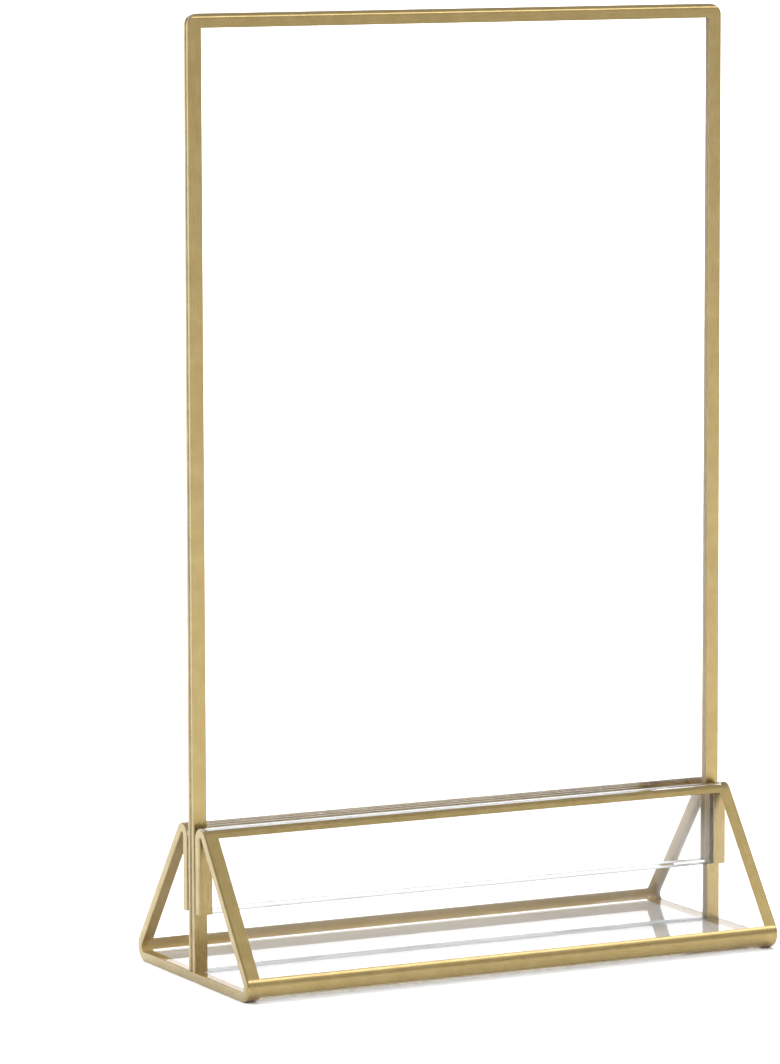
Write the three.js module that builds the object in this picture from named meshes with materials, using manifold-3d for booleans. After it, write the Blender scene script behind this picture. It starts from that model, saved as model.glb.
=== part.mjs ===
// A table number holder: a clear acrylic sheet folded over at the top, which takes a 5 x 7 inch card
// between its two leaves, standing in the slot of a base that is bent from one strip of clear acrylic.
// Gold foil borders the faces of both pieces and covers their cut ends.
//
// Millimetres, +Z up, +X to the right across the sign, -Y towards the viewer. The origin lies on the
// table, under the middle of the base.

import * as THREE from "three";
import Module from "manifold-3d";
import { mergeVertices } from "three/addons/utils/BufferGeometryUtils.js";

// Overall sizes.
const WINDOW_WIDTH = 127.0; // clear width between the side borders, that of the card
const BORDER = 3.2; // width of the gold borders
const WIDTH = WINDOW_WIDTH + 2 * BORDER;
const HEIGHT = 212.85;
const BASE_DEPTH = 57.15;
const BASE_HEIGHT = 35.0;

// Gold foil.
const FOIL = 0.12;
const BOND_LINE = 0.03; // between foil and sheet
const SKIN = FOIL + BOND_LINE;
const RUN_GAP = 0.05; // between foil runs that meet

// Base: one bent strip.
const BASE_SHEET = 2.0;
const SLOT_WIDTH = 3.9; // between the outside faces of the two flaps that hold the panel
const FLAP_BOTTOM = 15.5; // height of the flaps' free lower edges
const NOSE_RADIUS = 3.4; // outside radius of the two bends on the table
const CREST_RADIUS = 2.8; // outside radius of the two bends beside the slot
const NOSE_BAND = 4.45; // width of the foil along each nose, measured round the bend
const CREST_BAND = 2.15; // width of the foil along each crest, measured round the bend
const CREST_BAND_DROP = 1.05; // how far that foil reaches down the slope

// Panel: one folded sheet.
const LEAF = 0.95;
const FOLD_RADIUS = 1.2; // outside radius of the fold
const FOOT_THICKNESS = 3.0; // over both leaves at the foot, where they have sprung apart
const FOOT_CLEARANCE = 0.05; // between the leaves' feet and the base
const CORNER_RADIUS = 2.6; // the two top corners, in front view
const CORNER_FOIL = 1.5; // how far the end foils reach in along the round corners

const RIGHT_ANGLE = Math.PI / 2;
const BEND_STEP = THREE.MathUtils.degToRad(6);
const CORNER_DIVISIONS = 5;

const ACRYLIC = { color: 0xf1f5f5, roughness: 0.05, metalness: 0.0, transparent: true, opacity: 0.3 };
const GOLD = { color: 0xb49e67, roughness: 0.35, metalness: 1.0 };

const SIDES = ["left", "right"];

const wasm = await Module();
wasm.setup();

// The outside face of a bent sheet, seen from its end: straight runs and left-hand bends, with the
// outside on the right of the direction of travel. A place on it is given as a length from its start.
class BentFace {
  constructor(start, heading) {
    this.end = start;
    this.heading = heading;
    this.length = 0;
    this.runs = [];
  }

  straight(length) {
    const from = this.end;
    const out = outwards(this.heading);
    const along = new THREE.Vector2(Math.cos(this.heading), Math.sin(this.heading));
    const at = (u) => ({ point: from.clone().addScaledVector(along, u), out });
    return this.addRun(length, 1, at);
  }

  bend(angle, radius) {
    const heading = this.heading;
    const centre = this.end.clone().addScaledVector(outwards(heading), -radius);
    const at = (u) => {
      const out = outwards(heading + u / radius);
      return { point: centre.clone().addScaledVector(out, radius), out };
    };
    this.heading += angle;
    return this.addRun(angle * radius, Math.ceil(angle / BEND_STEP), at);
  }

  addRun(length, steps, at) {
    this.runs.push({ start: this.length, length, steps, at });
    this.length += length;
    this.end = at(length).point;
    return this;
  }

  // The lengths at which an outline from one length to another needs a corner.
  stations(from, to) {
    const corners = this.runs.flatMap(({ start, length, steps }) =>
      Array.from({ length: steps }, (_, i) => start + (i * length) / steps),
    );
    return [from, ...corners.filter((s) => s > from + RUN_GAP / 2 && s < to - RUN_GAP / 2), to];
  }

  // The point under the outside face at a length, sunk by a depth into the sheet.
  point(s, depth) {
    const run = this.runs.findLast(({ start }) => start <= s);
    const { point, out } = run.at(s - run.start);
    return point.clone().addScaledVector(out, -depth);
  }

  // The closed outline of a layer of the sheet between two depths, from one length to another.
  layer([from, to], outer, inner) {
    const stations = this.stations(from, to);
    const outside = stations.map((s) => this.point(s, outer));
    const inside = stations.map((s) => this.point(s, inner)).reverse();
    return new THREE.Shape([...outside, ...inside]);
  }
}

function outwards(heading) {
  return new THREE.Vector2(Math.sin(heading), -Math.cos(heading));
}

// A prism on an outline drawn in (Y, Z), from one X to another.
function alongX(outline, [fromX, toX]) {
  const geometry = new THREE.ExtrudeGeometry(outline, { depth: toX - fromX, bevelEnabled: false });
  const turn = new THREE.Matrix4().makeBasis(
    new THREE.Vector3(0, 1, 0),
    new THREE.Vector3(0, 0, 1),
    new THREE.Vector3(1, 0, 0),
  );
  return geometry.applyMatrix4(turn).translate(fromX, 0, 0);
}

// A prism on an outline drawn in (X, Z), reaching as far behind the XZ plane as in front of it.
function throughY(outline, reach) {
  const geometry = new THREE.ExtrudeGeometry(outline, {
    depth: 2 * reach,
    bevelEnabled: false,
    curveSegments: CORNER_DIVISIONS,
  });
  return geometry.rotateX(RIGHT_ANGLE).translate(0, reach, 0);
}

// The stretch of X of a given width at one end of the holder.
function endStretch(side, width) {
  return side === "left" ? [-WIDTH / 2, width - WIDTH / 2] : [WIDTH / 2 - width, WIDTH / 2];
}

function toManifold(geometry) {
  const bare = geometry.clone();
  bare.deleteAttribute("normal");
  bare.deleteAttribute("uv");
  const merged = mergeVertices(bare, 1e-5);
  const mesh = new wasm.Mesh({
    numProp: 3,
    vertProperties: merged.attributes.position.array,
    triVerts: new Uint32Array(merged.index.array),
  });
  return new wasm.Manifold(mesh);
}

function toGeometry(solid) {
  const { vertProperties, triVerts } = solid.getMesh();
  const geometry = new THREE.BufferGeometry();
  geometry.setAttribute("position", new THREE.BufferAttribute(vertProperties, 3));
  geometry.setIndex(new THREE.BufferAttribute(triVerts, 1));
  geometry.computeVertexNormals();
  return geometry;
}

function common(first, second) {
  return toGeometry(toManifold(first).intersect(toManifold(second)));
}

function cut(body, tool) {
  return toGeometry(toManifold(body).subtract(toManifold(tool)));
}

function addPiece(group, name, geometry, finish) {
  const mesh = new THREE.Mesh(geometry, new THREE.MeshStandardMaterial(finish));
  mesh.name = name;
  group.add(mesh);
}

// ------------------------------------------------------------------------------------------- base

// The slope is the straight run that is tangent to the nose and the crest.
function slopeOfBase() {
  const nose = new THREE.Vector2(-BASE_DEPTH / 2 + NOSE_RADIUS, NOSE_RADIUS);
  const crest = new THREE.Vector2(-SLOT_WIDTH / 2 - CREST_RADIUS, BASE_HEIGHT - CREST_RADIUS);
  const between = crest.sub(nose);
  const lean = Math.asin((NOSE_RADIUS - CREST_RADIUS) / between.length());
  return { angle: between.angle() - lean, length: between.length() * Math.cos(lean) };
}

// From the front flap's lower edge up the slot, over the front crest, down the front slope, round the
// nose, under to the rear nose, and in the same way up to the rear flap's lower edge.
function faceOfBase() {
  const slope = slopeOfBase();
  const flap = BASE_HEIGHT - CREST_RADIUS - FLAP_BOTTOM;
  const crest = RIGHT_ANGLE + slope.angle;
  const nose = Math.PI - slope.angle;
  const face = new BentFace(new THREE.Vector2(-SLOT_WIDTH / 2, FLAP_BOTTOM), RIGHT_ANGLE);
  face.straight(flap).bend(crest, CREST_RADIUS).straight(slope.length).bend(nose, NOSE_RADIUS);
  face.straight(BASE_DEPTH - 2 * NOSE_RADIUS);
  face.bend(nose, NOSE_RADIUS).straight(slope.length).bend(crest, CREST_RADIUS).straight(flap);
  return face;
}

// The stretches of the base's face that foil covers. The rear ones mirror the front ones.
function foilRuns(face) {
  const [flap, , slope, nose, bottom] = face.runs;
  const crestFrom = slope.start + CREST_BAND_DROP - CREST_BAND;
  const front = {
    nose: [nose.start, nose.start + NOSE_BAND],
    crest: [crestFrom, crestFrom + CREST_BAND],
    slope: [crestFrom, bottom.start - RUN_GAP],
    flap: [0, flap.length],
  };
  const mirror = ([from, to]) => [face.length - to, face.length - from];
  const rear = Object.fromEntries(Object.entries(front).map(([name, run]) => [name, mirror(run)]));
  return { front, rear, bottom: [bottom.start, bottom.start + bottom.length] };
}

function buildBase() {
  const base = new THREE.Group();
  const face = faceOfBase();
  const runs = foilRuns(face);
  const sheet = face.layer([0, face.length], SKIN, SKIN + BASE_SHEET);
  const onOutside = (run) => face.layer(run, 0, FOIL);
  const onInside = (run) => face.layer(run, SKIN + BASE_SHEET + BOND_LINE, 2 * SKIN + BASE_SHEET);
  const middle = WINDOW_WIDTH / 2 - RUN_GAP;

  addPiece(base, "base_sheet", alongX(sheet, [SKIN - WIDTH / 2, WIDTH / 2 - SKIN]), ACRYLIC);
  for (const half of ["front", "rear"]) {
    for (const run of ["nose", "crest"]) {
      const foil = onOutside(runs[half][run]);
      addPiece(base, `${half}_${run}_band`, alongX(foil, [-middle, middle]), GOLD);
    }
    for (const side of SIDES) {
      const slope = alongX(onOutside(runs[half].slope), endStretch(side, BORDER));
      const flap = alongX(onInside(runs[half].flap), endStretch(side, BORDER));
      addPiece(base, `${half}_slope_${side}_band`, slope, GOLD);
      addPiece(base, `${half}_flap_${side}_band`, flap, GOLD);
    }
  }
  for (const side of SIDES) {
    const bottom = alongX(onOutside(runs.bottom), endStretch(side, BORDER));
    addPiece(base, `bottom_${side}_band`, bottom, GOLD);
    addPiece(base, `base_${side}_edge`, alongX(sheet, endStretch(side, FOIL)), GOLD);
  }
  return base;
}

// ------------------------------------------------------------------------------------------ panel

// From the rear leaf's foot up, over the fold, and down to the front leaf's foot. The leaves lean
// together towards the fold.
function faceOfPanel() {
  const foot = new THREE.Vector2(FOOT_THICKNESS / 2, SKIN + BASE_SHEET + FOOT_CLEARANCE);
  const foldCentre = new THREE.Vector2(0, HEIGHT - FOLD_RADIUS);
  const between = foldCentre.sub(foot);
  const lean = Math.asin(FOLD_RADIUS / between.length());
  const heading = between.angle() - lean;
  const leaf = between.length() * Math.cos(lean);
  const face = new BentFace(foot, heading);
  return face.straight(leaf).bend(2 * (Math.PI - heading), FOLD_RADIUS).straight(leaf);
}

// The panel's outline in front view, with round top corners, drawn in all round by an inset.
function frontOutline(inset) {
  const half = WIDTH / 2 - inset;
  const top = HEIGHT - inset;
  const radius = CORNER_RADIUS - inset;
  const outline = new THREE.Shape();
  outline.moveTo(-half, 0);
  outline.lineTo(half, 0);
  outline.absarc(half - radius, top - radius, radius, 0, RIGHT_ANGLE, false);
  outline.absarc(radius - half, top - radius, radius, RIGHT_ANGLE, Math.PI, false);
  return outline;
}

function windowOutline() {
  const half = WINDOW_WIDTH / 2;
  const outline = new THREE.Shape();
  outline.moveTo(-half, -BORDER);
  outline.lineTo(half, -BORDER);
  outline.lineTo(half, HEIGHT - BORDER);
  outline.lineTo(-half, HEIGHT - BORDER);
  return outline;
}

function buildPanel() {
  const panel = new THREE.Group();
  const face = faceOfPanel();
  const [, fold, frontLeaf] = face.runs;
  const pastBothEnds = [-WIDTH, WIDTH];
  const sheet = face.layer([0, face.length], SKIN, SKIN + LEAF);
  const plate = (inset) => throughY(frontOutline(inset), FOOT_THICKNESS);
  addPiece(panel, "panel_sheet", common(alongX(sheet, pastBothEnds), plate(SKIN)), ACRYLIC);

  const border = cut(plate(0), throughY(windowOutline(), 2 * FOOT_THICKNESS));
  const bands = {
    panel_rear_border: [0, fold.start - RUN_GAP],
    panel_fold_band: [fold.start, frontLeaf.start],
    panel_front_border: [frontLeaf.start + RUN_GAP, face.length],
  };
  for (const [name, run] of Object.entries(bands)) {
    const foil = alongX(face.layer(run, 0, FOIL), pastBothEnds);
    addPiece(panel, name, common(foil, border), GOLD);
  }

  const rim = cut(plate(0), throughY(frontOutline(FOIL), 2 * FOOT_THICKNESS));
  for (const side of SIDES) {
    const end = alongX(sheet, endStretch(side, CORNER_FOIL));
    addPiece(panel, `panel_${side}_edge`, common(end, rim), GOLD);
  }
  return panel;
}

const holder = new THREE.Group();
holder.add(buildBase(), buildPanel());

export default holder;
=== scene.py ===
"""Looks of a table number holder: two bent sheets of clear acrylic with gold foil along their borders.

The CAD frame gives the places and overall sizes. Its solids have coarse bends and square edges, so each
one is replaced here by a finer solid in the same place, with true arcs and eased edges. Every solid is a
layer of one bent sheet: a grid of places along the bent path and round the sheet's cross-section.

All lengths are metres. +X runs to the right across the sign, -Y is the front and +Z is up.
"""

import logging
import math
from collections.abc import Iterable
from dataclasses import dataclass, field
from enum import Enum

import bmesh
import bpy
import numpy as np
from mathutils import Euler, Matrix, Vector


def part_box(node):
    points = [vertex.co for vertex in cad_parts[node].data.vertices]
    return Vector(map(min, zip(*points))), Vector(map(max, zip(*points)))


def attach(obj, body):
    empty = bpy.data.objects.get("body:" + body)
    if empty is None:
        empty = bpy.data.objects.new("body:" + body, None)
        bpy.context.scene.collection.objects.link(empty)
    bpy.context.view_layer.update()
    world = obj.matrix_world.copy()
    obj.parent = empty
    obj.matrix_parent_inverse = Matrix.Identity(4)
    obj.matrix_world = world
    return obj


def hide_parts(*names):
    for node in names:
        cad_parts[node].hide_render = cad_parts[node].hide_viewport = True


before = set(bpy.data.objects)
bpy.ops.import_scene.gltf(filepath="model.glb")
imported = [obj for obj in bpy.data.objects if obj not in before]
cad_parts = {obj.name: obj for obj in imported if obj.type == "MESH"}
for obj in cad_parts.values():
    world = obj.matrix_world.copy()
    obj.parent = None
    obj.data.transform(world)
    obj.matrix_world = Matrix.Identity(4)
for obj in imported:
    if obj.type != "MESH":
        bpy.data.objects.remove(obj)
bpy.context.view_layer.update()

MM = 0.001
QUARTER_TURN = math.pi / 2

FOIL = 0.12 * MM
BONDED = 0.11 * MM  # the clear sheet starts just above the foil's underside, so that no air shows between
RUN_GAP = 0.004 * MM  # between foil runs that meet
SUPPORT = 0.03 * MM  # rows this close to a bend keep the flats beside it flat
CLOSEST_ROWS = 0.01 * MM
LEAST_EASE = 0.05 * MM
BEND_STEP = math.radians(5.0)
SHARP_ANGLE = math.radians(35.0)
EASE_POINTS = 7  # round each eased corner and eased end
CORNER_STEPS = 8  # down each round top corner of the panel
BAND_POINTS = 9  # along a band from one end of the base to the other

log = logging.getLogger("table_number_holder")


class Body(Enum):
    """The CAD bodies that the pieces ride on."""

    BASE = "base"
    PANEL = "sign_panel"


class Slot(Enum):
    """The record's material slots."""

    ACRYLIC = "clear_acrylic"
    GOLD = "gold_foil"


class Side(Enum):
    """The two ends of the holder, as the sign of X."""

    LEFT = -1
    RIGHT = 1


class Half(Enum):
    """The base's two mirrored halves."""

    FRONT = "front"
    REAR = "rear"


# ------------------------------------------------------------------------------------------ geometry


@dataclass(frozen=True)
class Run:
    """One straight stretch or bend of a path. A straight stretch has no curvature."""

    start: float
    length: float
    point: np.ndarray
    heading: float
    curvature: float


class BentPath:
    """A plane path of straight runs and left-hand bends, with the sheet's outside on its right.

    A place on the path is a length from its start. From a run's own start, an arc of length u and
    curvature k has the chord u * sin(k u / 2) / (k u / 2), which points along the mean of the two
    headings. With no curvature that is the straight line.
    """

    def __init__(self, start: tuple[float, float], heading: float) -> None:
        """Starts a path.

        Args:
            start: The first point.
            heading: The direction of travel there, in radians from the plane's first axis.
        """
        self.runs: list[Run] = []
        self.length = 0.0
        self._point = np.array(start)
        self._heading = heading

    def straight(self, length: float) -> "BentPath":
        """Carries on straight for a length and returns the path."""
        return self._add(length, 0.0)

    def bend(self, angle: float, radius: float) -> "BentPath":
        """Turns left by an angle, with the outside face on a radius, and returns the path."""
        return self._add(angle * radius, 1.0 / radius)

    def _add(self, length: float, curvature: float) -> "BentPath":
        """Adds a run at the end of the path.

        Args:
            length: The run's length.
            curvature: Its turn per length, to the left.

        Returns:
            The path.
        """
        self.runs.append(Run(self.length, length, self._point, self._heading, curvature))
        self.length += length
        self._point = self.at(np.array([self.length]))[0]
        self._heading += length * curvature
        return self

    def at(self, places: np.ndarray, sunk: np.ndarray | float = 0.0) -> np.ndarray:
        """Points of the path, or points sunk from it into the sheet.

        Args:
            places: Lengths along the path, of shape (n,).
            sunk: Depths under the outside face, of shape (n, ...) or one number.

        Returns:
            Points in the path's plane, of shape (n, ..., 2).
        """
        starts = np.array([run.start for run in self.runs])
        which = np.clip(np.searchsorted(starts, places, side="right") - 1, 0, None)
        curvature = np.array([run.curvature for run in self.runs])[which]
        heading = np.array([run.heading for run in self.runs])[which]
        origin = np.array([run.point for run in self.runs])[which]
        u = places - starts[which]
        half_turn = curvature * u / 2
        chord = u * np.sinc(half_turn / math.pi)
        mean = heading + half_turn
        on_path = origin + chord[:, None] * np.stack([np.cos(mean), np.sin(mean)], axis=-1)
        ahead = heading + 2 * half_turn
        outwards = np.stack([np.sin(ahead), -np.cos(ahead)], axis=-1)
        depth = np.asarray(sunk)
        spare = (1,) * max(depth.ndim - 1, 0)
        shape = (len(places), *spare, 2)
        return on_path.reshape(shape) - depth[..., None] * outwards.reshape(shape)

    def stations(self, first: float, last: float, extra: Iterable[float] = ()) -> np.ndarray:
        """Lengths at which a mesh of the path needs a row, with bends cut into small equal steps.

        Args:
            first: Where the mesh starts.
            last: Where it ends.
            extra: Further lengths that get a row.

        Returns:
            The lengths in order, with none closer together than CLOSEST_ROWS.
        """
        rows = [np.array([first, last, *extra])]
        for run in self.runs:
            steps = max(1, math.ceil(run.length * run.curvature / BEND_STEP))
            rows.append(run.start + run.length * np.arange(steps) / steps)
            rows.append(run.start + np.array([-SUPPORT, SUPPORT]))
        rows = np.unique(np.concatenate(rows))
        rows = rows[(rows >= first) & (rows <= last)]
        apart = np.concatenate([[True], np.diff(rows) > CLOSEST_ROWS])
        return rows[apart]


@dataclass
class Shell:
    """A closed solid between two matched grids of points, with the cells that it leaves out.

    outer and inner have the shape (n, m, 3), kept has (n - 1, m - 1), and grain gives each grid point its
    length along and across the foil's grain. The second material goes on the inner grid, or row_finish
    gives each row of cells its material's number, and the walls across the rows take the second one.
    """

    outer: np.ndarray
    inner: np.ndarray
    kept: np.ndarray
    grain: np.ndarray
    cross_grained: np.ndarray | None = None
    row_finish: np.ndarray | None = None

    def faces(self) -> tuple[np.ndarray, np.ndarray, np.ndarray]:
        """Quads of both grids, and walls wherever a kept cell has no kept neighbour.

        Returns:
            The quads as vertex numbers, with the inner grid's numbers after the outer grid's; for each
            quad whether its grain runs across the grid's first direction; and its material's number.
        """
        rows, columns = self.kept.shape
        index = np.arange((rows + 1) * (columns + 1)).reshape(rows + 1, columns + 1)
        under = index.size
        cells = np.stack([index[:-1, :-1], index[:-1, 1:], index[1:, 1:], index[1:, :-1]], axis=-1)
        turned = np.zeros_like(self.kept) if self.cross_grained is None else self.cross_grained
        quads = [cells[self.kept], cells[self.kept][:, ::-1] + under]
        across = [turned[self.kept], turned[self.kept]]
        if self.row_finish is None:
            finish = [np.zeros(self.kept.sum(), int), np.ones(self.kept.sum(), int)]
        else:
            finish = [np.broadcast_to(self.row_finish[:, None], self.kept.shape)[self.kept]] * 2
        padded = np.pad(self.kept, 1).astype(int)
        for axis, (a, b) in enumerate(((index[:, :-1], index[:, 1:]), (index[1:, :], index[:-1, :]))):
            step = np.diff(padded, axis=axis)
            step = step[:, 1:-1] if axis == 0 else step[1:-1, :]
            for sense, (p, q) in ((1, (b, a)), (-1, (a, b))):
                p, q = p[step == sense], q[step == sense]
                quads.append(np.stack([p, q, q + under, p + under], axis=-1))
                across.append(np.zeros(len(p), bool))
                finish.append(np.full(len(p), int(axis == 0 and self.row_finish is not None)))
        return np.concatenate(quads), np.concatenate(across), np.concatenate(finish)

    def to_object(self, name: str) -> bpy.types.Object:
        """Makes the mesh and its object.

        Args:
            name: The piece's name.

        Returns:
            The object, at the origin, with its grain in a UV map in metres.
        """
        quads, across, finish = self.faces()
        used, numbers = np.unique(quads, return_inverse=True)
        points = np.concatenate([self.outer.reshape(-1, 3), self.inner.reshape(-1, 3)])[used]
        grain = np.tile(self.grain.reshape(-1, 2), (2, 1))[used]
        faces = numbers.reshape(-1, 4)
        mesh = bpy.data.meshes.new(name)
        mesh.from_pydata(points.tolist(), [], faces.tolist())
        corners = grain[faces]
        corners = np.where(across[:, None, None], corners[..., ::-1], corners)
        mesh.uv_layers.new(name="grain").data.foreach_set("uv", corners.astype(np.float32).ravel())
        face_outwards(mesh)
        mesh.polygons.foreach_set("use_smooth", np.ones(len(faces), bool))
        mesh.polygons.foreach_set("material_index", finish)
        mesh.set_sharp_from_angle(angle=SHARP_ANGLE)
        made = bpy.data.objects.new(name, mesh)
        bpy.context.scene.collection.objects.link(made)
        return made


def face_outwards(mesh: bpy.types.Mesh) -> None:
    """Turns all of a closed mesh's faces outwards.

    Args:
        mesh: The mesh, which is changed in place.
    """
    edit = bmesh.new()
    edit.from_mesh(mesh)
    bmesh.ops.recalc_face_normals(edit, faces=edit.faces)
    edit.to_mesh(mesh)
    edit.free()


# ----------------------------------------------------------------------------------------- materials


def linear(code: str) -> tuple[float, float, float, float]:
    """Turns an sRGB hex colour into a linear one.

    Args:
        code: The colour as "#RRGGBB".

    Returns:
        Linear red, green and blue, and an alpha of one.
    """
    parts = [int(code[i : i + 2], 16) / 255 for i in (1, 3, 5)]
    red, green, blue = (p / 12.92 if p <= 0.04045 else ((p + 0.055) / 1.055) ** 2.4 for p in parts)
    return red, green, blue, 1.0


def add_node(
    tree: bpy.types.NodeTree, kind: str, links: dict[str | int, bpy.types.NodeSocket] | None = None,
    inputs: dict[str | int, object] | None = None, **settings: object,
) -> bpy.types.Node:
    """Adds a node with its settings and links.

    Args:
        tree: The node tree.
        kind: The node's Blender type name.
        links: Sockets to join to the node's inputs, by input name or number.
        inputs: Values for the node's inputs, by name or number.
        settings: Properties of the node itself.

    Returns:
        The node.
    """
    node = tree.nodes.new(kind)
    for key, value in settings.items():
        setattr(node, key, value)
    for key, value in (inputs or {}).items():
        node.inputs[key].default_value = value
    for key, socket in (links or {}).items():
        tree.links.new(socket, node.inputs[key])
    return node


def new_material(name: str) -> tuple[bpy.types.Material, bpy.types.NodeTree]:
    """Makes a node material with no nodes yet.

    Args:
        name: The material's name.

    Returns:
        The material and its node tree.
    """
    material = bpy.data.materials.new(name)
    material.use_nodes = True
    material.node_tree.nodes.clear()
    return material, material.node_tree


@dataclass(frozen=True)
class GoldFoil:
    """Gilt foil, rolled on hot. It has a satin metal sheen with fine streaks along the roller's way.

    tone_stops are the noise values that get the dark, body and light colours. mottle_share is the soft
    mottling's share of that noise, against the streaks, and streak_range is stretched over roughness.
    """

    name: str
    dark: str
    body: str
    light: str
    roughness: tuple[float, float]
    metallic: float = 1.0
    coat: float = 0.6
    coat_roughness: float = 0.2
    tone_stops: tuple[float, float, float] = (0.32, 0.5, 0.70)
    mottle_share: float = 0.85
    streak_range: tuple[float, float] = (0.3, 0.7)
    relief: float = 0.02
    streak_pitch: float = 0.25 * MM
    streak_length: float = 9.0 * MM
    mottle_size: float = 4.0 * MM
    press_depth: float = 0.006 * MM

    def make(self) -> bpy.types.Material:
        """Builds the material: streaks and soft mottling drive the colour, and streaks the rest.

        Returns:
            The material.
        """
        material, tree = new_material(self.name)
        grain = add_node(tree, "ShaderNodeUVMap", uv_map="grain").outputs["UV"]
        place = add_node(tree, "ShaderNodeTexCoord").outputs["Object"]
        scale = (1 / self.streak_length, 1 / self.streak_pitch, 1.0)
        drawn = add_node(tree, "ShaderNodeMapping", {"Vector": grain}, {"Scale": scale})
        streaks = add_node(
            tree, "ShaderNodeTexNoise", {"Vector": drawn.outputs[0]},
            {"Scale": 1.0, "Detail": 4.0, "Roughness": 0.6}, noise_dimensions="2D",
        )
        mottle = add_node(
            tree, "ShaderNodeTexNoise", {"Vector": place},
            {"Scale": 1 / self.mottle_size, "Detail": 3.0, "Roughness": 0.55},
        )
        tone = add_node(
            tree, "ShaderNodeMix",
            {"A": streaks.outputs["Fac"], "B": mottle.outputs["Fac"]}, {"Factor": self.mottle_share},
        )
        ramp = add_node(tree, "ShaderNodeValToRGB", {"Fac": tone.outputs["Result"]})
        first, middle, last = self.tone_stops
        stops = ramp.color_ramp.elements
        stops[0].position, stops[0].color = first, linear(self.dark)
        stops[1].position, stops[1].color = last, linear(self.light)
        stops.new(middle).color = linear(self.body)
        rough = add_node(
            tree, "ShaderNodeMapRange", {"Value": streaks.outputs["Fac"]},
            {"From Min": self.streak_range[0], "From Max": self.streak_range[1],
             "To Min": self.roughness[0], "To Max": self.roughness[1]},
        )
        relief = add_node(
            tree, "ShaderNodeBump", {"Height": streaks.outputs["Fac"]},
            {"Strength": self.relief, "Distance": self.press_depth},
        )
        shader = add_node(
            tree, "ShaderNodeBsdfPrincipled",
            {"Base Color": ramp.outputs["Color"], "Roughness": rough.outputs["Result"],
             "Normal": relief.outputs["Normal"]},
            {"Metallic": self.metallic, "Coat Weight": self.coat,
             "Coat Roughness": self.coat_roughness},
        )
        add_node(tree, "ShaderNodeOutputMaterial", {"Surface": shader.outputs["BSDF"]})
        return material


@dataclass(frozen=True)
class ClearAcrylic:
    """Cast acrylic sheet, polished and line-bent. It is water-clear, with a faint waviness in its face.

    smear_range of the smear noise is stretched over roughness. depth_tint and density dim the light by
    its way through the sheet.
    """

    name: str
    tint: str
    haze: str
    roughness: tuple[float, float]
    ior: float = 1.49
    wave_size: float = 30.0 * MM
    wave_depth: float = 0.01 * MM
    wave_strength: float = 0.2
    smear_size: float = 18.0 * MM
    smear_range: tuple[float, float] = (0.4, 0.75)
    depth_tint: str = "#B4BCBC"
    density: float = 6.0

    def make(self) -> bpy.types.Material:
        """Builds the material. Lamps shine straight through it, so that it casts no hard shadow.

        Returns:
            The material.
        """
        material, tree = new_material(self.name)
        place = add_node(tree, "ShaderNodeTexCoord").outputs["Object"]
        smear = add_node(
            tree, "ShaderNodeTexNoise", {"Vector": place},
            {"Scale": 1 / self.smear_size, "Detail": 5.0, "Roughness": 0.65, "Distortion": 0.6},
        )
        waves = add_node(
            tree, "ShaderNodeTexNoise", {"Vector": place}, {"Scale": 1 / self.wave_size, "Detail": 1.0},
        )
        colour = add_node(tree, "ShaderNodeMix", {0: smear.outputs["Fac"]}, data_type="RGBA")
        colour.inputs["A"].default_value = linear(self.tint)
        colour.inputs["B"].default_value = linear(self.haze)
        rough = add_node(
            tree, "ShaderNodeMapRange", {"Value": smear.outputs["Fac"]},
            {"From Min": self.smear_range[0], "From Max": self.smear_range[1],
             "To Min": self.roughness[0], "To Max": self.roughness[1]},
        )
        relief = add_node(
            tree, "ShaderNodeBump", {"Height": waves.outputs["Fac"]},
            {"Strength": self.wave_strength, "Distance": self.wave_depth},
        )
        glass = add_node(
            tree, "ShaderNodeBsdfPrincipled",
            {"Base Color": colour.outputs["Result"], "Roughness": rough.outputs["Result"],
             "Normal": relief.outputs["Normal"]},
            {"Transmission Weight": 1.0, "IOR": self.ior},
        )
        clear = add_node(tree, "ShaderNodeBsdfTransparent")
        path = add_node(tree, "ShaderNodeLightPath")
        mixed = add_node(
            tree, "ShaderNodeMixShader",
            {0: path.outputs["Is Shadow Ray"], 1: glass.outputs["BSDF"], 2: clear.outputs["BSDF"]},
        )
        body = add_node(
            tree, "ShaderNodeVolumeAbsorption",
            inputs={"Color": linear(self.depth_tint), "Density": self.density},
        )
        add_node(
            tree, "ShaderNodeOutputMaterial",
            {"Surface": mixed.outputs["Shader"], "Volume": body.outputs["Volume"]},
        )
        return material


# Rolled on hot with a silicone roller: a warm satin gold whose highlight is drawn out into soft streaks.
FACE_FOIL = GoldFoil("gilt_foil_hot_rolled", "#9A8552", "#9F8A58", "#A5915F", (0.26, 0.31))
# The same foil over a saw-cut edge: greyer and duller, because the saw marks print through it.
EDGE_FOIL = GoldFoil("gilt_foil_on_sawn_edge", "#8F7D50", "#978659", "#A08F63", (0.34, 0.46))
# The foil's glued side, seen through the acrylic: a flat honey tone with hardly any highlight.
GLUED_FOIL = GoldFoil(
    "gilt_foil_glued_side", "#BD9F60", "#C4A76A", "#CBAF74", (0.45, 0.6), metallic=0.6, coat=0.0,
)
# The foil's back under the crest bands and the panel borders, seen from behind: cream, matt and free of
# shine. This is a painted reflection that stands in for the bright white these backs show through the
# acrylic.
PAINTED_REFLECTION_FOIL = GoldFoil(
    "gilt_foil_pale_size_coat", "#F0DFB8", "#F4E5C2", "#F7EACC", (0.5, 0.6), metallic=0.0, coat=0.0,
)
# Cast between glass and left as it came: water-clear, with sharp reflections that waver very slightly.
POLISHED = ClearAcrylic("acrylic_cast_polished", "#FFFFFF", "#FEFEFE", (0.0, 0.03))
# Sawn and scraped edges without foil: a frosted grey line where the sheet ends.
SAWN = ClearAcrylic("acrylic_sawn_and_scraped", "#F2F3F4", "#E6E8E9", (0.35, 0.6))


# -------------------------------------------------------------------------------------------- sheets


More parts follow.
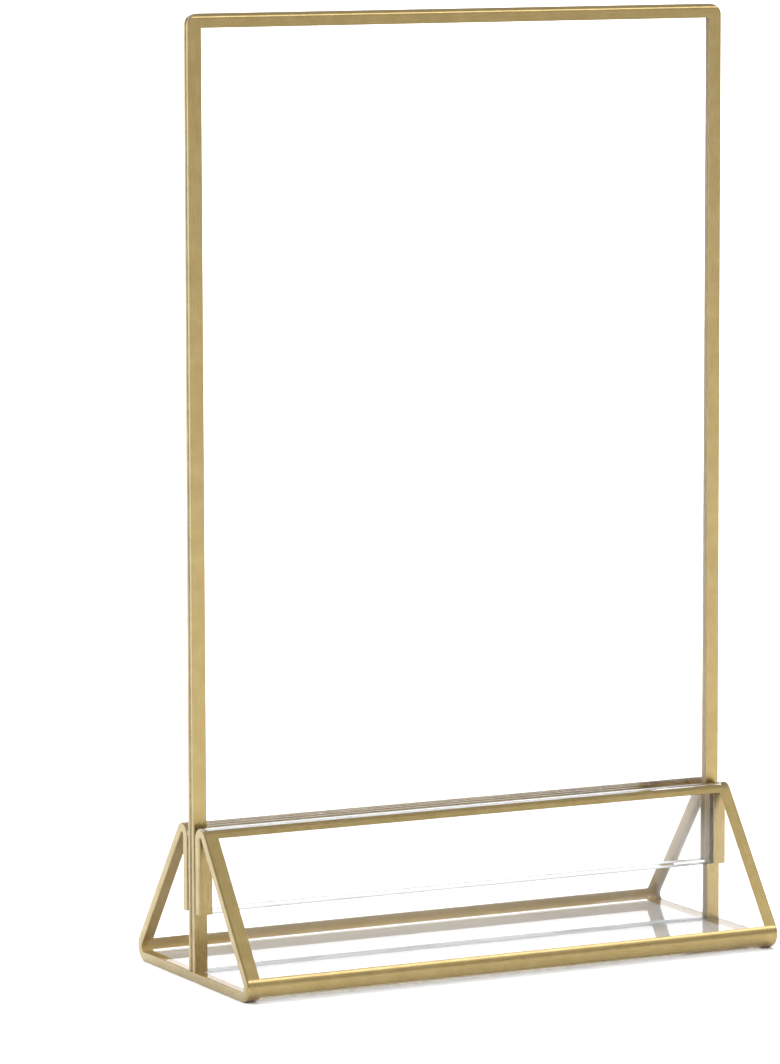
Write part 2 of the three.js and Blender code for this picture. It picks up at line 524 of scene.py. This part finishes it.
@dataclass
class Sheet:
    """One bent sheet with foil on its outside, its cut ends and, where it has any, its inside.

    width and thickness are taken over the foil. inside_skin is what the clear sheet leaves free for foil
    on its inside. ease is the radius of the sheet's four long corners, and end_ease that of the edges of
    its two ends.
    """

    body: Body
    width: float
    border: float
    thickness: float
    inside_skin: float
    ease: float
    end_ease: float
    path: BentPath = field(init=False)
    finishes: dict[str, bpy.types.Material] = field(init=False, default_factory=dict)

    def place(self, along: np.ndarray, x: np.ndarray, depth: np.ndarray) -> np.ndarray:
        """Puts places of the flat sheet on the bent one.

        Args:
            along: Lengths along the path, of shape (n,).
            x: Places across the sheet, of shape (n, m).
            depth: Depths under the outside face, of shape (n, m).

        Returns:
            Points of shape (n, m, 3).
        """
        bent = self.path.at(along, depth)
        return np.concatenate([x[..., None], bent], axis=-1)

    def rim(self) -> BentPath:
        """The left end's cross-section: in from the border's edge, round the end and back inside.

        Its plane is X and the height over the outside face, so that a depth is a height below zero.

        Returns:
            The cross-section as a path.
        """
        flat = self.border - self.ease
        path = BentPath((self.border - self.width / 2, 0.0), math.pi)
        path.straight(flat).bend(QUARTER_TURN, self.ease).straight(self.thickness - 2 * self.ease)
        return path.bend(QUARTER_TURN, self.ease).straight(flat)

    def rim_stretch(self, name: str) -> tuple[float, float]:
        """Where a foil run starts and ends on the rim.

        Args:
            name: "outside" for the face band, "end" for the cut end, "inside" for the band within.

        Returns:
            The two lengths along the rim.
        """
        flat = self.border - self.ease
        corner = self.ease * QUARTER_TURN
        first = flat + corner / 2
        second = flat + corner + self.thickness - 2 * self.ease + corner / 2
        total = 2 * flat + 2 * corner + self.thickness - 2 * self.ease
        gap = RUN_GAP / 4
        return {
            "outside": (0.0, first - gap), "end": (first + gap, second - gap),
            "inside": (second + gap, total),
        }[name]

    def layer(self, section: BentPath, across: np.ndarray, along: np.ndarray, side: Side) -> Shell:
        """A run of foil on the sheet.

        Args:
            section: The cross-section that the foil follows.
            across: Places on that section, of shape (m,).
            along: Places along the sheet's path, of shape (n,).
            side: The end of the holder. The section is drawn for the left one.

        Returns:
            The foil as a shell with its grain along the sheet.
        """
        grids = []
        for sunk in (0.0, FOIL):
            x, height = np.moveaxis(section.at(across, sunk), -1, 0)
            shape = (len(along), len(across))
            grids.append(self.place(along, np.broadcast_to(-side.value * x, shape),
                                    np.broadcast_to(-height, shape)))
        grain = np.stack(np.meshgrid(along, across, indexing="ij"), axis=-1)
        kept = np.ones((len(along) - 1, len(across) - 1), bool)
        return Shell(grids[0], grids[1], kept, grain)

    def band(self, name: str, run: tuple[float, float], stretch: str, side: Side) -> bpy.types.Object:
        """Makes a foil band along one end of the sheet.

        Args:
            name: The CAD node that it stands for.
            run: Where it starts and ends along the sheet.
            stretch: Its stretch of the rim.
            side: The end of the holder.

        Returns:
            The dressed piece.
        """
        section = self.rim()
        across = section.stations(*self.rim_stretch(stretch))
        foil = self.layer(section, across, self.path.stations(*run, self.extra_rows()), side)
        finish = EDGE_FOIL if stretch == "end" else FACE_FOIL
        return self.dress(foil.to_object(f"{name}_foil"), name, Slot.GOLD, finish, GLUED_FOIL)

    def extra_rows(self) -> Iterable[float]:
        """Further places along the path that need a row of points."""
        return ()

    def clear_body(self, name: str) -> bpy.types.Object:
        """Makes the clear sheet: a rounded rectangle carried along the path, drawn in at its two ends.

        At a place a depth e short of full size, the section is drawn in by e on every side, and e follows
        a quarter circle of radius end_ease from each end.

        Args:
            name: The CAD node that it stands for.

        Returns:
            The dressed piece.
        """
        turn = np.linspace(0.0, QUARTER_TURN, EASE_POINTS)
        ends = self.end_ease * (1 - np.cos(turn))
        flat_from, flat_to = self.end_ease + SUPPORT, self.path.length - self.end_ease - SUPPORT
        inner_rows = self.path.stations(
            self.end_ease, self.path.length - self.end_ease, [*self.extra_rows(), flat_from, flat_to]
        )
        along = np.unique(np.concatenate([ends[:-1], inner_rows, self.path.length - ends[:-1]]))
        into = np.minimum(np.minimum(along, self.path.length - along), self.end_ease)
        drawn_in = self.end_ease - np.sqrt(self.end_ease**2 - (self.end_ease - into) ** 2)
        half_width = self.width / 2 - BONDED - drawn_in
        ease = np.maximum(self.ease - BONDED - drawn_in, LEAST_EASE)[:, None]
        corner_x = half_width[:, None] - ease * (1 - np.sin(turn))
        corner_x = np.concatenate([corner_x[:, :1] - SUPPORT, corner_x], axis=1)
        corner_drop = ease * (1 - np.cos(turn))
        corner_drop = np.concatenate([corner_drop[:, :1], corner_drop], axis=1)
        x = np.concatenate([-corner_x[:, ::-1], corner_x], axis=1)
        drop = np.concatenate([corner_drop[:, ::-1], corner_drop], axis=1)
        top = (BONDED + drawn_in)[:, None] + drop
        foot = (self.thickness - self.inside_skin - drawn_in)[:, None] - drop
        grain = np.stack([np.broadcast_to(along[:, None], x.shape), x], axis=-1)
        kept = np.ones((x.shape[0] - 1, x.shape[1] - 1), bool)
        row_finish = ((into[1:] + into[:-1]) / 2 < self.end_ease).astype(int)
        shell = Shell(
            self.place(along, x, top), self.place(along, x, foot), kept, grain, row_finish=row_finish,
        )
        return self.dress(shell.to_object(f"{name}_clear"), name, Slot.ACRYLIC, POLISHED, SAWN)

    def dress(
        self, piece: bpy.types.Object, node: str, slot: Slot, *finishes: GoldFoil | ClearAcrylic,
    ) -> bpy.types.Object:
        """Gives a piece its materials and its body, and hides the CAD node that it stands for.

        Args:
            piece: The piece.
            node: The CAD node.
            slot: The record's material slot. It is not used.
            finishes: The materials, by the piece's material numbers.

        Returns:
            The piece.
        """
        for finish in finishes:
            piece.data.materials.append(self.finishes[finish.name])
        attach(piece, self.body.value)
        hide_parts(node)
        log.info("%s: %d faces, %s", piece.name, len(piece.data.polygons), finishes[0].name)
        return piece


@dataclass
class BaseSheet(Sheet):
    """The base: one strip bent into two mirrored slopes with a slot between their crests.

    The bands are measured along the path: nose_band from the bend's start, and crest_band from
    crest_band_drop down the slope back over the crest.
    """

    depth: float = 57.15 * MM
    height: float = 35.0 * MM
    slot_width: float = 3.9 * MM
    flap_bottom: float = 15.5 * MM
    nose_radius: float = 3.4 * MM
    crest_radius: float = 2.8 * MM
    nose_band: float = 4.45 * MM
    crest_band: float = 2.15 * MM
    crest_band_drop: float = 1.05 * MM

    def __post_init__(self) -> None:
        """Lays out the path: up the front flap, over, down the front slope, under and back up."""
        nose = Vector((self.nose_radius - self.depth / 2, self.nose_radius))
        crest = Vector((-self.slot_width / 2 - self.crest_radius, self.height - self.crest_radius))
        between = crest - nose
        lean = math.asin((self.nose_radius - self.crest_radius) / between.length)
        slope_angle = math.atan2(between.y, between.x) - lean
        slope = between.length * math.cos(lean)
        flap = self.height - self.crest_radius - self.flap_bottom
        over, under = QUARTER_TURN + slope_angle, math.pi - slope_angle
        path = BentPath((-self.slot_width / 2, self.flap_bottom), QUARTER_TURN)
        path.straight(flap).bend(over, self.crest_radius).straight(slope).bend(under, self.nose_radius)
        path.straight(self.depth - 2 * self.nose_radius)
        path.bend(under, self.nose_radius).straight(slope).bend(over, self.crest_radius).straight(flap)
        self.path = path

    def foil_runs(self, half: Half) -> dict[str, tuple[float, float]]:
        """Where the foil runs of one half start and end along the path.

        Args:
            half: The half of the base.

        Returns:
            The stretches by name.
        """
        flap, _, slope, nose, bottom = self.path.runs[:5]
        crest_from = slope.start + self.crest_band_drop - self.crest_band
        runs = {
            "nose": (nose.start, nose.start + self.nose_band),
            "crest": (crest_from, crest_from + self.crest_band),
            "slope": (crest_from, bottom.start - RUN_GAP),
            "flap": (0.0, flap.length),
        }
        if half is Half.FRONT:
            return runs
        return {name: (self.path.length - b, self.path.length - a) for name, (a, b) in runs.items()}

    def long_band(self, name: str, run: tuple[float, float]) -> bpy.types.Object:
        """Makes a foil band along a bend, between the two end borders.

        Args:
            name: The CAD node that it stands for.
            run: Where it starts and ends along the path.

        Returns:
            The dressed piece.
        """
        reach = self.width / 2 - self.border - RUN_GAP
        section = BentPath((reach, 0.0), math.pi).straight(2 * reach)
        across = np.linspace(0.0, 2 * reach, BAND_POINTS)
        foil = self.layer(section, across, self.path.stations(*run), Side.LEFT)
        foil.grain = foil.grain[..., ::-1]
        # The crest bands' backs are cream, a painted reflection of bright white; the other bands show the
        # foil's glued side.
        under = PAINTED_REFLECTION_FOIL if "crest" in name else GLUED_FOIL
        return self.dress(foil.to_object(f"{name}_foil"), name, Slot.GOLD, FACE_FOIL, under)

    def build(self) -> None:
        """Builds the clear strip and all the foil on it."""
        self.clear_body("base_sheet")
        for half in Half:
            runs = self.foil_runs(half)
            for bend in ("nose", "crest"):
                self.long_band(f"{half.value}_{bend}_band", runs[bend])
            for side in Side:
                end = side.name.lower()
                self.band(f"{half.value}_slope_{end}_band", runs["slope"], "outside", side)
                self.band(f"{half.value}_flap_{end}_band", runs["flap"], "inside", side)
        bottom = self.path.runs[4]
        for side in Side:
            end = side.name.lower()
            run = (bottom.start, bottom.start + bottom.length)
            self.band(f"bottom_{end}_band", run, "outside", side)
            self.band(f"base_{end}_edge", (0.0, self.path.length), "end", side)


@dataclass
class PanelSheet(Sheet):
    """The sign panel: one sheet folded in two along its top, with round top corners.

    foot is its height over the table, foot_thickness is over both leaves there, and lip is the outermost
    strip that the round corners move without squeezing it.
    """

    height: float = 212.85 * MM
    foot: float = 2.2 * MM
    fold_radius: float = 1.2 * MM
    foot_thickness: float = 3.0 * MM
    corner_radius: float = 2.6 * MM
    lip: float = 0.45 * MM

    def __post_init__(self) -> None:
        """Lays out the path: up the rear leaf, over the fold and down the front leaf."""
        between = Vector((-self.foot_thickness / 2, self.height - self.fold_radius - self.foot))
        lean = math.asin(self.fold_radius / between.length)
        heading = math.atan2(between.y, between.x) - lean
        leaf = between.length * math.cos(lean)
        path = BentPath((self.foot_thickness / 2, self.foot), heading)
        self.path = path.straight(leaf).bend(2 * (math.pi - heading), self.fold_radius).straight(leaf)

    def extra_rows(self) -> Iterable[float]:
        """Rows down the round corners on the leaves, and at the border's edge.

        Returns:
            Their places along the path.
        """
        _, fold, front = self.path.runs
        reach = self.corner_radius - self.fold_radius
        steps = reach * np.arange(1, CORNER_STEPS + 1) / CORNER_STEPS
        border = self.border - self.fold_radius
        return [*(fold.start - steps), *(front.start + steps), fold.start - border, front.start + border]

    def place(self, along: np.ndarray, x: np.ndarray, depth: np.ndarray) -> np.ndarray:
        """Puts places of the flat sheet on the folded one, and draws its ends in to round its corners.

        At a height z, the half width is its full size less R - sqrt(R^2 - (z - start)^2) above the start
        of the corner. The outermost lip keeps its shape, and what lies between it and the border's edge
        is squeezed evenly.

        Args:
            along: Lengths along the path, of shape (n,).
            x: Places across the sheet, of shape (n, m).
            depth: Depths under the outside face, of shape (n, m).

        Returns:
            Points of shape (n, m, 3).
        """
        points = super().place(along, x, depth)
        radius, full = self.corner_radius, self.width / 2
        rise = np.clip(points[..., 2] - (self.height - radius), 0.0, radius)
        half_width = full - radius + np.sqrt(radius**2 - rise**2)
        inner = full - self.border
        out = np.abs(points[..., 0])
        squeeze = (half_width - self.lip - inner) / (full - self.lip - inner)
        between = inner + (out - inner) * squeeze
        drawn = np.where(out >= full - self.lip, out - (full - half_width), between)
        points[..., 0] = np.sign(points[..., 0]) * np.where(out > inner, drawn, out)
        return points

    def border_to_border(self, along: np.ndarray) -> tuple[list[np.ndarray], np.ndarray, int]:
        """Joins the left and the right outside band of the rim into one grid across the leaf.

        Args:
            along: Places along the path, of shape (n,).

        Returns:
            The outer and the inner grid; the places across; and the number of the column of cells that
            lies between the two borders.
        """
        section = self.rim()
        places = section.stations(*self.rim_stretch("outside"))
        left, right = (self.layer(section, places, along, side) for side in Side)
        pairs = ((left.outer, right.outer), (left.inner, right.inner))
        grids = [np.concatenate([a[:, ::-1], b], axis=1) for a, b in pairs]
        across = np.concatenate([-places[::-1], places + self.width - 2 * self.border])
        return grids, across, len(places) - 1

    def leaf_border(self, name: str, run: tuple[float, float]) -> bpy.types.Object:
        """Makes the border of one leaf: a frame open at its foot.

        Args:
            name: The CAD node that it stands for.
            run: Where the leaf starts and ends along the path.

        Returns:
            The dressed piece.
        """
        along = self.path.stations(*run, self.extra_rows())
        grids, across, window = self.border_to_border(along)
        grain = np.stack(np.meshgrid(along, across, indexing="ij"), axis=-1)
        middle = 0.5 * (along[1:] + along[:-1])
        _, fold, front = self.path.runs
        from_fold = np.minimum(np.abs(middle - fold.start), np.abs(middle - front.start))
        kept = np.ones((len(along) - 1, len(across) - 1), bool)
        kept[from_fold > self.border - self.fold_radius, window] = False
        crossing = np.zeros_like(kept)
        crossing[:, window] = True
        foil = Shell(*grids, kept, grain, crossing)
        # The border's back is cream, a painted reflection of the bright white that shows through the
        # acrylic.
        return self.dress(foil.to_object(f"{name}_foil"), name, Slot.GOLD, FACE_FOIL, PAINTED_REFLECTION_FOIL)

    def fold_band(self, name: str) -> bpy.types.Object:
        """Makes the foil over the fold, from end to end.

        Args:
            name: The CAD node that it stands for.

        Returns:
            The dressed piece.
        """
        _, fold, front = self.path.runs
        along = self.path.stations(fold.start, front.start)
        grids, across, _ = self.border_to_border(along)
        grain = np.stack(np.meshgrid(along, across, indexing="ij")[::-1], axis=-1)
        kept = np.ones((len(along) - 1, len(across) - 1), bool)
        foil = Shell(*grids, kept, grain)
        return self.dress(foil.to_object(f"{name}_foil"), name, Slot.GOLD, FACE_FOIL, GLUED_FOIL)

    def build(self) -> None:
        """Builds the folded sheet and all the foil on it."""
        _, fold, front = self.path.runs
        self.clear_body("panel_sheet")
        self.leaf_border("panel_rear_border", (0.0, fold.start - RUN_GAP))
        self.leaf_border("panel_front_border", (front.start + RUN_GAP, self.path.length))
        self.fold_band("panel_fold_band")
        for side in Side:
            self.band(f"panel_{side.name.lower()}_edge", (0.0, self.path.length), "end", side)


# --------------------------------------------------------------------------------------------- stage


@dataclass(frozen=True)
class SoftBox:
    """A soft box that faces the holder: its place by azimuth and elevation, its size and its power."""

    name: str
    azimuth: float
    elevation: float
    distance: float
    size: tuple[float, float]
    power: float
    aim: tuple[float, float, float] = (0.0, 0.0, 0.1)
    in_metal: bool = True

    def add(self) -> None:
        """Adds the light. Azimuth 0 is in front of the holder and a quarter turn is at its right."""
        turn, rise = math.radians(self.azimuth), math.radians(self.elevation)
        away = Vector((math.sin(turn) * math.cos(rise), -math.cos(turn) * math.cos(rise), math.sin(rise)))
        data = bpy.data.lights.new(self.name, "AREA")
        data.shape = "RECTANGLE"
        data.size, data.size_y = self.size
        data.energy = self.power
        light = bpy.data.objects.new(self.name, data)
        light.location = Vector(self.aim) + self.distance * away
        light.rotation_euler = away.to_track_quat("Z", "Y").to_euler()
        light.visible_camera = False
        light.visible_transmission = False
        light.visible_glossy = self.in_metal
        bpy.context.scene.collection.objects.link(light)


@dataclass(frozen=True)
class Studio:
    """A plain white table under soft light, and the camera.

    The backdrop adds its glow to the sky where a direction's Y rises through backdrop_y, and loses it
    where the direction's Z rises through backdrop_z.
    """

    image_height: int = 1064
    sensor: float = 36.0
    focal_pixels: float = 5721.0
    eye: tuple[float, float, float] = (-0.5925, -1.1239, 0.2549)
    azimuth: float = math.radians(-27.103)
    elevation: float = math.radians(7.126)
    roll: float = math.radians(-0.124)
    floor_size: float = 40.0
    sky: float = 0.75
    backdrop: float = 1.3
    backdrop_y: tuple[float, float] = (0.1, 0.5)
    backdrop_z: tuple[float, float] = (0.22, 0.45)
    floor_grey: float = 0.94
    floor_drop: float = 0.02 * MM
    floor_roughness: float = 0.9
    farthest: float = 50.0
    bounces: int = 40
    diffuse_bounces: int = 12
    boxes: tuple[SoftBox, ...] = (
        SoftBox("front_box", azimuth=33.0, elevation=36.0, distance=1.6, size=(1.2, 0.22), power=5.5),
        SoftBox(
            "ceiling_box", azimuth=0.0, elevation=90.0, distance=2.3, size=(11.0, 9.5), power=720.0,
            aim=(0.0, 4.4, 0.0), in_metal=False,
        ),
    )

    def add_camera(self) -> None:
        """Adds the camera at the viewing angle, with no shift and everything in focus."""
        data = bpy.data.cameras.new("camera")
        data.sensor_width = self.sensor
        data.lens = self.focal_pixels * self.sensor / self.image_height
        data.clip_end = self.farthest
        camera = bpy.data.objects.new("camera", data)
        camera.location = self.eye
        turn = Euler((QUARTER_TURN - self.elevation, 0.0, self.azimuth), "XYZ").to_matrix()
        camera.rotation_euler = (turn @ Euler((0.0, 0.0, self.roll)).to_matrix()).to_euler()
        bpy.context.scene.collection.objects.link(camera)
        bpy.context.scene.camera = camera

    def add_floor(self) -> None:
        """Adds the table top, a hair below the foil that rests on it."""
        half = self.floor_size / 2
        corners = [(x * half, y * half, -self.floor_drop) for x, y in ((-1, -1), (1, -1), (1, 1), (-1, 1))]
        mesh = bpy.data.meshes.new("floor")
        mesh.from_pydata(corners, [], [(0, 1, 2, 3)])
        floor = bpy.data.objects.new("floor", mesh)
        bpy.context.scene.collection.objects.link(floor)
        # Matt laminate off the press: an even white with no reflection of what stands on it.
        material, tree = new_material("matt_white_laminate")
        shader = add_node(
            tree, "ShaderNodeBsdfPrincipled",
            inputs={
                "Base Color": (self.floor_grey, self.floor_grey, self.floor_grey, 1.0),
                "Roughness": self.floor_roughness, "Specular IOR Level": 0.0,
            },
        )
        add_node(tree, "ShaderNodeOutputMaterial", {"Surface": shader.outputs["BSDF"]})
        mesh.materials.append(material)

    def add_light(self) -> None:
        """Adds a pale sky all round, a brighter backdrop low down behind, and the soft boxes."""
        world = bpy.data.worlds.new("studio")
        world.use_nodes = True
        tree = world.node_tree
        tree.nodes.clear()
        way = add_node(tree, "ShaderNodeTexCoord").outputs["Generated"]
        parts = add_node(tree, "ShaderNodeSeparateXYZ", {"Vector": way})
        behind = add_node(
            tree, "ShaderNodeMapRange", {"Value": parts.outputs["Y"]},
            {"From Min": self.backdrop_y[0], "From Max": self.backdrop_y[1],
             "To Min": 0.0, "To Max": self.backdrop},
        )
        low = add_node(
            tree, "ShaderNodeMapRange", {"Value": parts.outputs["Z"]},
            {"From Min": self.backdrop_z[0], "From Max": self.backdrop_z[1],
             "To Min": 1.0, "To Max": 0.0},
        )
        glow = add_node(
            tree, "ShaderNodeMath", {0: behind.outputs["Result"], 1: low.outputs["Result"]},
            operation="MULTIPLY",
        )
        total = add_node(tree, "ShaderNodeMath", {0: glow.outputs["Value"]}, {1: self.sky}, operation="ADD")
        sky = add_node(
            tree, "ShaderNodeBackground", {"Strength": total.outputs["Value"]},
            {"Color": (1.0, 1.0, 1.0, 1.0)},
        )
        add_node(tree, "ShaderNodeOutputWorld", {"Surface": sky.outputs["Background"]})
        bpy.context.scene.world = world
        for box in self.boxes:
            box.add()

    def set_up(self) -> None:
        """Adds the floor, the lights and the camera, and shows colours as they are."""
        self.add_floor()
        self.add_light()
        self.add_camera()
        bpy.context.scene.view_settings.view_transform = "Standard"
        cycles = bpy.context.scene.cycles
        cycles.max_bounces = self.bounces
        cycles.glossy_bounces = self.bounces
        cycles.transmission_bounces = self.bounces
        cycles.transparent_max_bounces = self.bounces
        cycles.diffuse_bounces = self.diffuse_bounces


def main() -> None:
    """Builds the holder's two sheets, dresses them and sets up the studio."""
    logging.basicConfig(level=logging.INFO, format="%(name)s: %(message)s")
    kinds = (FACE_FOIL, EDGE_FOIL, GLUED_FOIL, PAINTED_REFLECTION_FOIL, POLISHED, SAWN)
    finishes = {finish.name: finish.make() for finish in kinds}
    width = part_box("base_right_edge")[1].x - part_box("base_left_edge")[0].x
    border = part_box("bottom_left_band")[1].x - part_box("bottom_left_band")[0].x
    base = BaseSheet(
        Body.BASE, width, border, thickness=2.3 * MM, inside_skin=BONDED, ease=0.45 * MM, end_ease=0.4 * MM,
    )
    panel = PanelSheet(
        Body.PANEL, width, border, thickness=1.1 * MM, inside_skin=0.0, ease=0.3 * MM, end_ease=0.3 * MM,
    )
    for sheet in (base, panel):
        sheet.finishes = finishes
        sheet.build()
    Studio().set_up()


if __name__ == "__main__":
    main()
